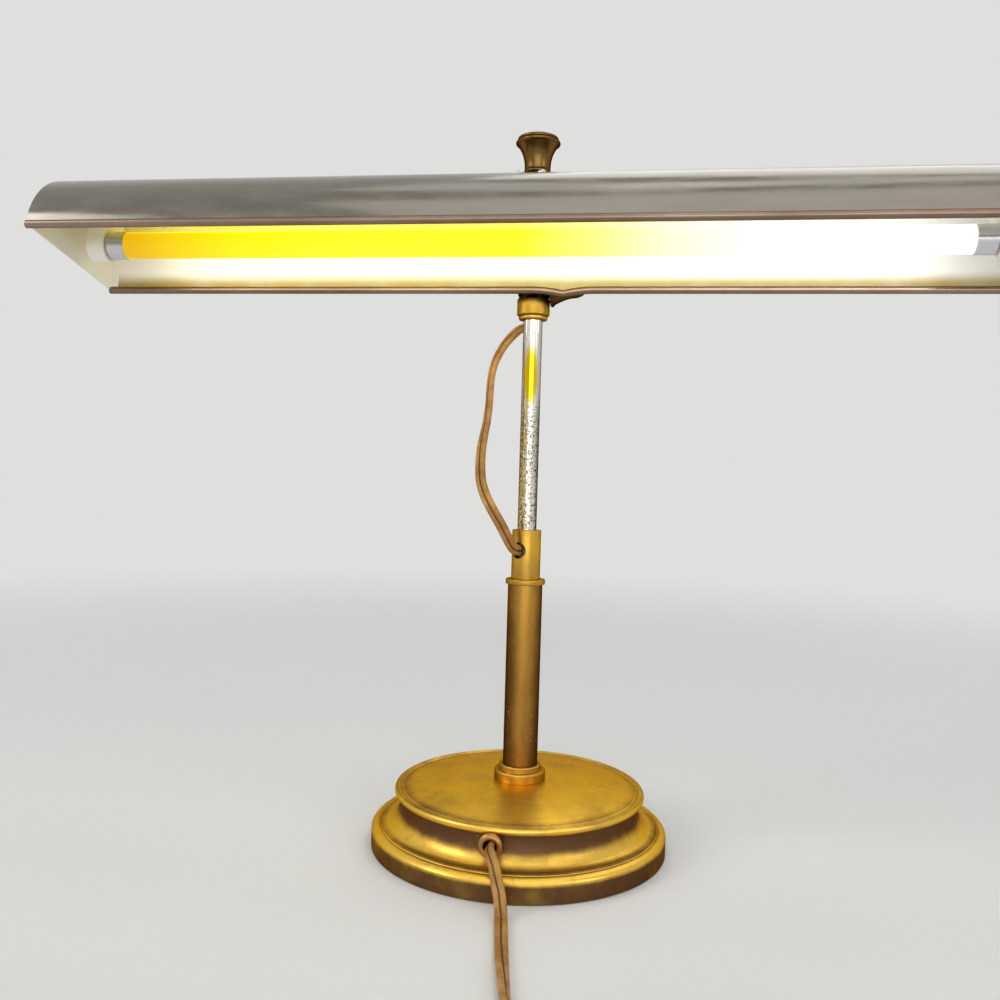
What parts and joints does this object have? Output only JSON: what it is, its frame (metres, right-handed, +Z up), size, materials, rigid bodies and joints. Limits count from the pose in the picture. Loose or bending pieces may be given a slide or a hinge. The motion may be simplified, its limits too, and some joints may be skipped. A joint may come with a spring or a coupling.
{
  "type": "bankers lamp",
  "caption": "Desk lamp with a round stepped brass base, a telescoping column and a long half-round trough shade that swivels and tilts over a lit fluorescent tube.",
  "frame": {"origin": "centre of the felt pad's underside, on the column's axis", "axes": "+Z up along the column, +X along the shade, -Y towards the person at the lamp"},
  "size_m": [0.57, 0.4046, 0.4555],
  "materials": {
    "antique_brass": "satin antique brass with brown patina",
    "column_brass": "darker brown brass",
    "dark_brass": "dark oxidised brass",
    "contact_brass": "plain brass",
    "iron": "rough casting",
    "steel": "zinc plated",
    "felt": "pressed felt",
    "ballast_paint": "grey enamel",
    "aluminium": "drawn",
    "white_plastic": "moulded",
    "fibre": "pressed fibre",
    "cord_cover": "brown and gold flat twin flex",
    "tie_plastic": "soft strap",
    "plug_plastic": "moulded brown",
    "worn_nickel": "worn nickel plate",
    "switch_plastic": "moulded",
    "shade_metal": "polished plate outside, white enamel inside",
    "white_paint": "white enamel",
    "lamp_glass": "phosphor coated, lit"
  },
  "bodies": {
    "base": {"base_shell": "antique_brass", "base_weight": "iron", "base_plate": "steel", "base_pad": "felt", "ballast": "ballast_paint", "ballast_screws": "steel", "starter": "aluminium", "starter_socket": "white_plastic", "nipple": "antique_brass", "base_washer": "steel", "base_nut": "steel", "column_plug": "antique_brass", "foot_collar": "antique_brass", "column_tube": "column_brass", "column_ring": "antique_brass", "sleeve": "antique_brass", "friction_bush": "fibre", "cord_bushing": "antique_brass", "bushing_nut": "steel", "mains_cord": "cord_cover", "mains_coil": "cord_cover", "coil_tie": "tie_plastic", "plug_body": "plug_plastic", "plug_blades": "contact_brass", "loop_cord": "cord_cover"},
    "stem": {"inner_tube": "worn_nickel", "stop_ring": "antique_brass", "stem_ring": "antique_brass"},
    "head": {"swivel_cup": "antique_brass", "swivel_screw": "steel", "pivot_pin": "contact_brass", "friction_washers": "fibre", "post": "antique_brass", "switch_housing": "antique_brass", "switch_body": "switch_plastic", "switch_nut": "worn_nickel"},
    "clamp": {"clamp_knob": "dark_brass"},
    "switch": {"switch_knob": "dark_brass", "switch_spindle": "steel"},
    "shade": {"saddle_plate": "antique_brass", "tilt_tongue": "antique_brass", "saddle_rivets": "antique_brass", "shade_shell": "shade_metal", "shade_end_left": "shade_metal", "shade_end_right": "shade_metal", "lip_wire_front": "steel", "lip_wire_back": "steel", "wire_channel": "white_paint", "lampholder_left": "white_plastic", "lampholder_right": "white_plastic", "glass_tube": "lamp_glass", "tube_cap_left": "aluminium", "tube_cap_right": "aluminium", "tube_pins": "contact_brass"}
  },
  "joints": [
    {"name": "height", "type": "slide", "parent": "base", "child": "stem", "axis": [0, 0, 1], "range_m": [-0.07, 0.025], "deforming": ["loop_cord"]},
    {"name": "swivel", "type": "hinge", "parent": "stem", "child": "head", "pos_m": [0, 0, 0.3599], "axis": [0, 0, 1], "range_deg": [-170, 170]},
    {"name": "tilt", "type": "hinge", "parent": "head", "child": "shade", "pos_m": [0, 0, 0.3599], "axis": [1, 0, 0], "range_deg": [-15, 15]},
    {"name": "clamp_turn", "type": "hinge", "parent": "head", "child": "clamp", "pos_m": [0.02, 0, 0.3599], "axis": [1, 0, 0], "range_deg": [0, 180]},
    {"name": "switch_turn", "type": "hinge", "parent": "head", "child": "switch", "pos_m": [0, 0, 0.44], "axis": [0, 0, 1], "continuous": true}
  ]
}
